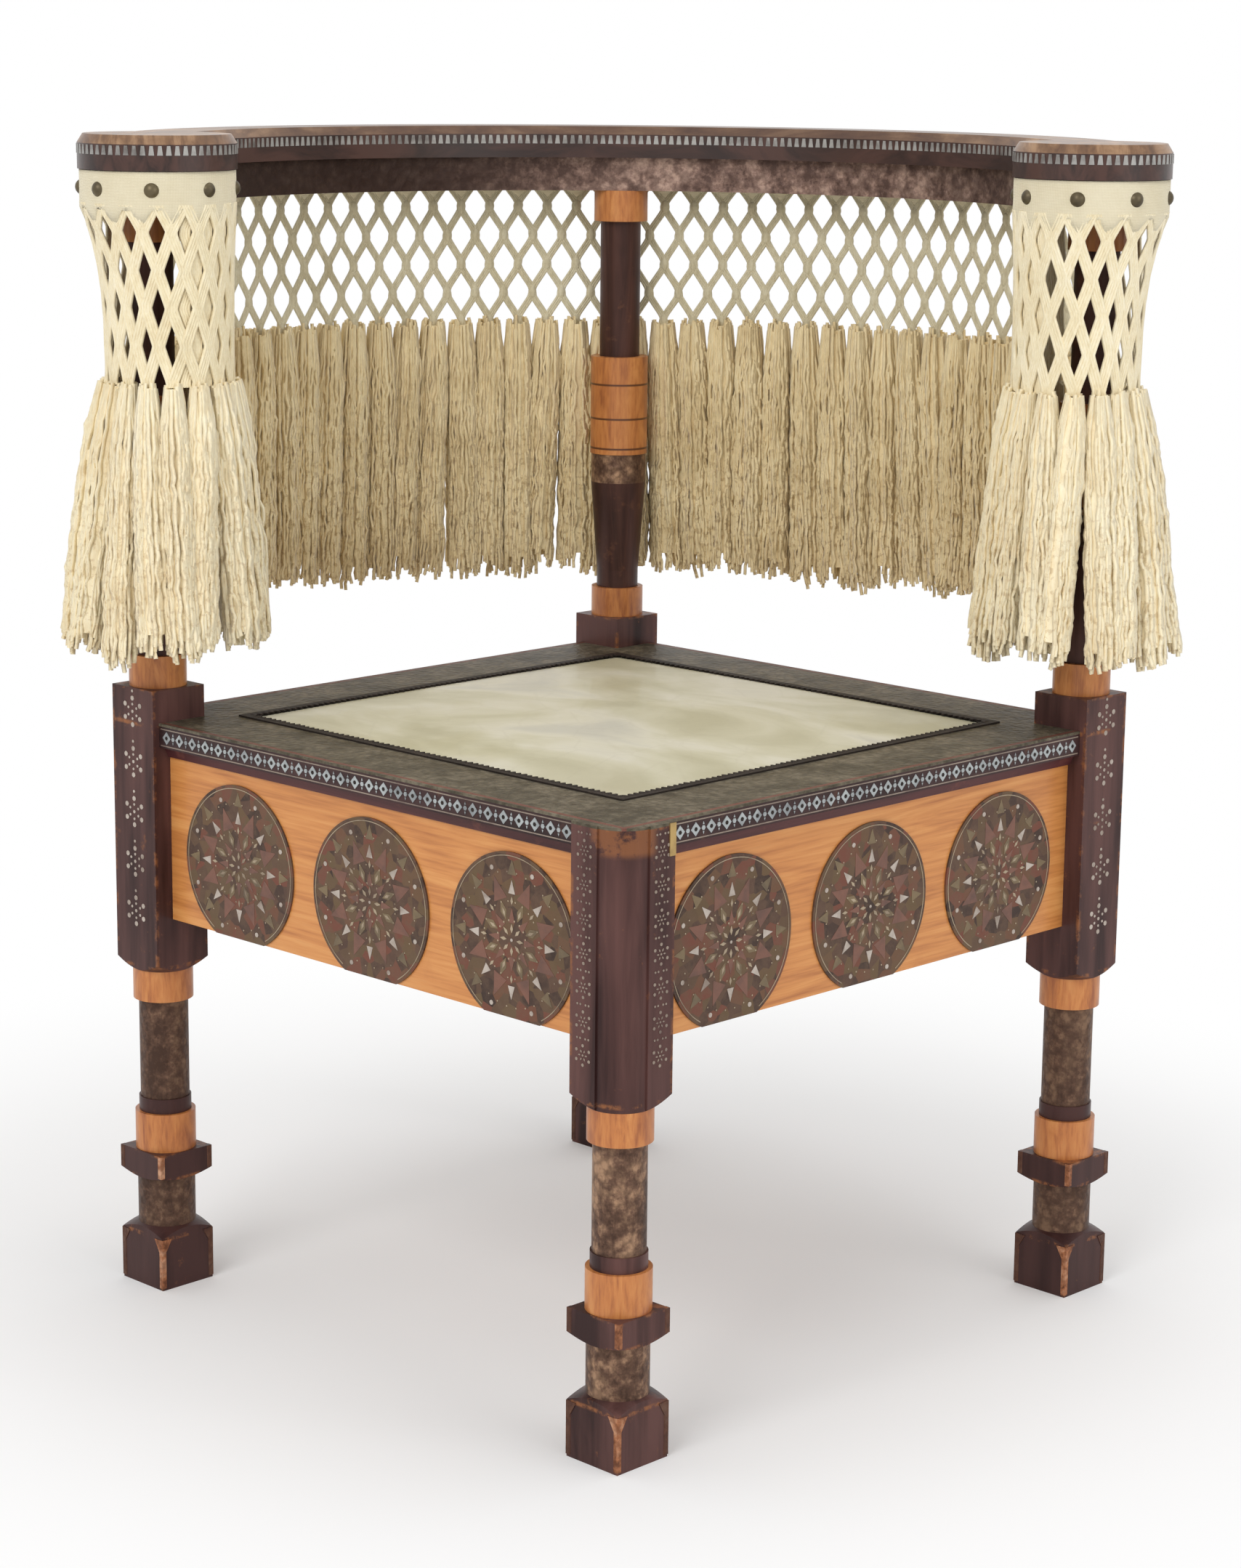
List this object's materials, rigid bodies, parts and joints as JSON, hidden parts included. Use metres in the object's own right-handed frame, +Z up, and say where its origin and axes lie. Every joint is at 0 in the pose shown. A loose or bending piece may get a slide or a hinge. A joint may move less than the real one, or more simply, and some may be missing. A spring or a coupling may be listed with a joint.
{
  "type": "corner chair",
  "caption": "Corner chair: square parchment seat set cornerwise on turned legs, half-round crest rail on spindles, hung with a knotted net and tassels, inlaid seat rails.",
  "frame": {"origin": "on the floor under the middle of the square seat, halfway between opposite posts", "axes": "+Z up, the front leg towards -Y, the back spindle towards +Y, +X to the right seen from the front"},
  "size_m": [0.6872, 0.6464, 0.73],
  "materials": {
    "dark_wood": "dark stained walnut, waxed and worn at the edges",
    "light_wood": "orange-tan fruitwood, satin",
    "inlaid_wood": "dark wood discs with pewter and bone inlay",
    "inner_wood": "plain unfinished softwood",
    "hammered_copper": "hammered and darkened copper sheet",
    "copper_strip": "worn copper strip",
    "border_metal": "beaten brown metal sheet, dull",
    "parchment": "mottled cream parchment, slight sheen",
    "trim": "dark toothed edging",
    "stuffing": "horsehair and wadding",
    "webbing": "jute webbing",
    "cream_yarn": "cream knotted silk and cotton yarn",
    "bronze": "dark bronze"
  },
  "bodies": {
    "root": {"apron_cladding": "hammered_copper", "arm_drum_left": "dark_wood", "arm_drum_right": "dark_wood", "corner_braces": "inner_wood", "corner_strips_back": "copper_strip", "corner_strips_front": "copper_strip", "corner_strips_left": "copper_strip", "corner_strips_right": "copper_strip", "crest_apron": "dark_wood", "crest_rail": "dark_wood", "dome_nails": "bronze", "fringe_back": "cream_yarn", "fringe_left": "cream_yarn", "fringe_right": "cream_yarn", "leg_back": "dark_wood", "leg_front": "dark_wood", "leg_left": "dark_wood", "leg_right": "dark_wood", "leg_rings_back": "light_wood", "leg_rings_front": "light_wood", "leg_rings_left": "light_wood", "leg_rings_right": "light_wood", "leg_sleeves_back": "hammered_copper", "leg_sleeves_front": "hammered_copper", "leg_sleeves_left": "hammered_copper", "leg_sleeves_right": "hammered_copper", "net_back": "cream_yarn", "net_left": "cream_yarn", "net_right": "cream_yarn", "rosettes_back_left": "inlaid_wood", "rosettes_back_right": "inlaid_wood", "rosettes_front_left": "inlaid_wood", "rosettes_front_right": "inlaid_wood", "seat_border_back_left": "dark_wood", "seat_border_back_right": "dark_wood", "seat_border_cladding": "border_metal", "seat_border_front_left": "dark_wood", "seat_border_front_right": "dark_wood", "seat_moulding_back_left": "dark_wood", "seat_moulding_back_right": "dark_wood", "seat_moulding_front_left": "dark_wood", "seat_moulding_front_right": "dark_wood", "seat_pad": "stuffing", "seat_parchment": "parchment", "seat_rail_back_left": "light_wood", "seat_rail_back_right": "light_wood", "seat_rail_front_left": "light_wood", "seat_rail_front_right": "light_wood", "seat_trim": "trim", "spindle_back": "dark_wood", "spindle_bands": "hammered_copper", "spindle_left": "dark_wood", "spindle_right": "dark_wood", "spindle_rings_back": "light_wood", "spindle_rings_left": "light_wood", "spindle_rings_right": "light_wood", "textile_band": "cream_yarn", "webbing_lower": "webbing", "webbing_upper": "webbing"}
  },
  "joints": []
}
